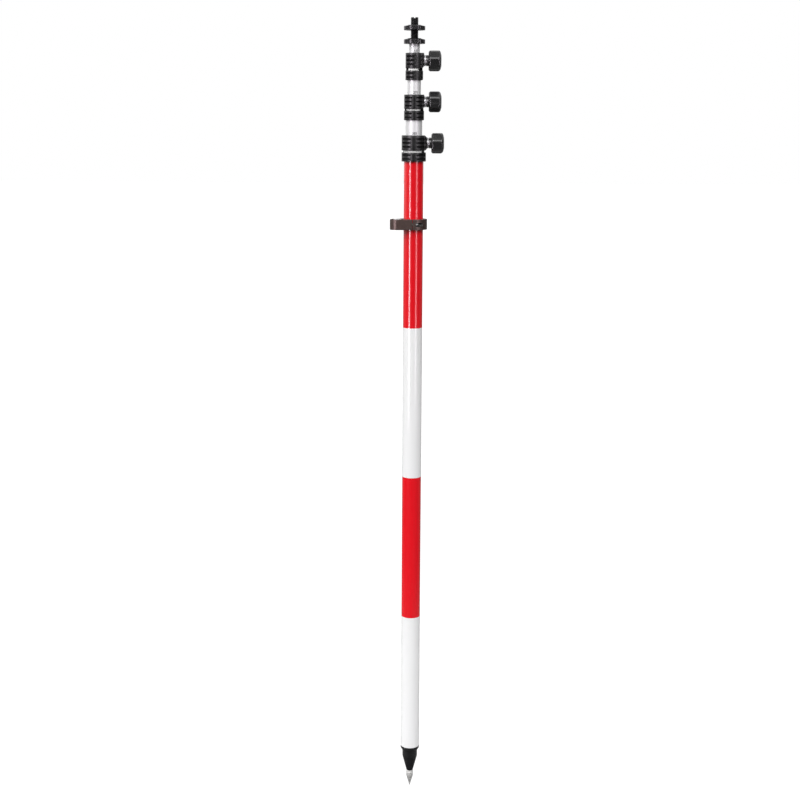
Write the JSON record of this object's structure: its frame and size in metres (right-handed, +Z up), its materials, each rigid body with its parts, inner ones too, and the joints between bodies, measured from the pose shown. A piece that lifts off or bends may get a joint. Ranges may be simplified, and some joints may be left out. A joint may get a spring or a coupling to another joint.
{
  "type": "telescopic surveying pole",
  "caption": "Closed telescopic surveying pole: red and white lower tube, silver inner tubes, screw clamps, clamp-on circular level, steel point and threaded stud with lock nut.",
  "frame": {"origin": "tip of the steel point, where the pole stands on the ground", "axes": "+Z up the pole's axis; +X towards the clamp knobs, -X towards the level bracket; the front is at -Y"},
  "size_m": [0.1093, 0.057, 1.65],
  "materials": {
    "painted_tube": "gloss paint in red and white bands over an aluminium tube",
    "anodised_tube": "clear satin anodised",
    "black_plastic": "moulded, fine satin texture",
    "knob_plastic": "moulded, satin",
    "black_alloy": "black anodised",
    "black_steel": "black oxide",
    "bright_steel": "turned, bright",
    "point_steel": "turned, hardened",
    "nylon": "natural nylon",
    "bronze_alloy": "satin bronze-brown anodised",
    "brass": "turned",
    "level_liquid": "clear yellow-green spirit",
    "lens": "polished clear acrylic"
  },
  "bodies": {
    "base": {"outer_tube": "painted_tube", "tip_holder": "black_alloy", "steel_point": "point_steel", "clamp_1_collar": "black_plastic", "clamp_1_bushing": "bright_steel"},
    "level": {"level_bracket": "bronze_alloy", "bracket_clamp_screw": "bright_steel", "level_case": "bright_steel", "level_liquid": "level_liquid", "level_lens": "lens", "level_screw_1": "bright_steel", "level_screw_2": "bright_steel", "level_screw_3": "bright_steel"},
    "guide_2": {"section_2_guide_bush": "nylon"},
    "section_2": {"section_2_tube": "anodised_tube", "clamp_2_collar": "black_plastic", "clamp_2_bushing": "bright_steel"},
    "guide_3": {"section_3_guide_bush": "nylon"},
    "section_3": {"section_3_tube": "anodised_tube", "clamp_3_collar": "black_plastic", "clamp_3_bushing": "bright_steel"},
    "guide_4": {"section_4_guide_bush": "nylon"},
    "section_4": {"section_4_tube": "anodised_tube", "head_flange": "black_alloy", "head_stud": "black_steel"},
    "lock_nut": {"lock_nut": "black_alloy"},
    "pad_1": {"clamp_1_pressure_pad": "brass"},
    "knob_1": {"clamp_1_knob": "knob_plastic", "clamp_1_screw": "bright_steel"},
    "pad_2": {"clamp_2_pressure_pad": "brass"},
    "knob_2": {"clamp_2_knob": "knob_plastic", "clamp_2_screw": "bright_steel"},
    "pad_3": {"clamp_3_pressure_pad": "brass"},
    "knob_3": {"clamp_3_knob": "knob_plastic", "clamp_3_screw": "bright_steel"}
  },
  "joints": [
    {"name": "level_slide", "type": "slide", "parent": "base", "child": "level", "axis": [0, 0, 1], "range_m": [-1.13, 0.115]},
    {"name": "section_2_slide", "type": "slide", "parent": "base", "child": "guide_2", "axis": [0, 0, 1], "range_m": [0, 1.115]},
    {"name": "section_2_swivel", "type": "hinge", "parent": "guide_2", "child": "section_2", "pos_m": [0, 0, 1.3], "axis": [0, 0, 1], "continuous": true},
    {"name": "section_3_slide", "type": "slide", "parent": "section_2", "child": "guide_3", "axis": [0, 0, 1], "range_m": [0, 1.115]},
    {"name": "section_3_swivel", "type": "hinge", "parent": "guide_3", "child": "section_3", "pos_m": [0, 0, 1.3], "axis": [0, 0, 1], "continuous": true},
    {"name": "section_4_slide", "type": "slide", "parent": "section_3", "child": "guide_4", "axis": [0, 0, 1], "range_m": [0, 1.115]},
    {"name": "section_4_swivel", "type": "hinge", "parent": "guide_4", "child": "section_4", "pos_m": [0, 0, 1.3], "axis": [0, 0, 1], "continuous": true},
    {"name": "lock_nut_travel", "type": "slide", "parent": "section_4", "child": "lock_nut", "axis": [0, 0, 1], "range_m": [-0.0155, 0.012]},
    {"name": "clamp_1_pad_travel", "type": "slide", "parent": "base", "child": "pad_1", "axis": [1, 0, 0], "range_m": [0, 0.003]},
    {"name": "clamp_1_knob_turn", "type": "hinge", "parent": "pad_1", "child": "knob_1", "pos_m": [0, 0, 1.404], "axis": [1, 0, 0], "range_deg": [0, 720.5]},
    {"name": "clamp_2_pad_travel", "type": "slide", "parent": "section_2", "child": "pad_2", "axis": [1, 0, 0], "range_m": [0, 0.003]},
    {"name": "clamp_2_knob_turn", "type": "hinge", "parent": "pad_2", "child": "knob_2", "pos_m": [0, 0, 1.4855], "axis": [1, 0, 0], "range_deg": [0, 720.5]},
    {"name": "clamp_3_pad_travel", "type": "slide", "parent": "section_3", "child": "pad_3", "axis": [1, 0, 0], "range_m": [0, 0.003]},
    {"name": "clamp_3_knob_turn", "type": "hinge", "parent": "pad_3", "child": "knob_3", "pos_m": [0, 0, 1.5663], "axis": [1, 0, 0], "range_deg": [0, 720.5]}
  ],
  "couplings": [
    {"joint": "clamp_1_knob_turn", "follows": "clamp_1_pad_travel", "rad_per_m": 4188.8},
    {"joint": "clamp_2_knob_turn", "follows": "clamp_2_pad_travel", "rad_per_m": 4188.8},
    {"joint": "clamp_3_knob_turn", "follows": "clamp_3_pad_travel", "rad_per_m": 4188.8}
  ]
}
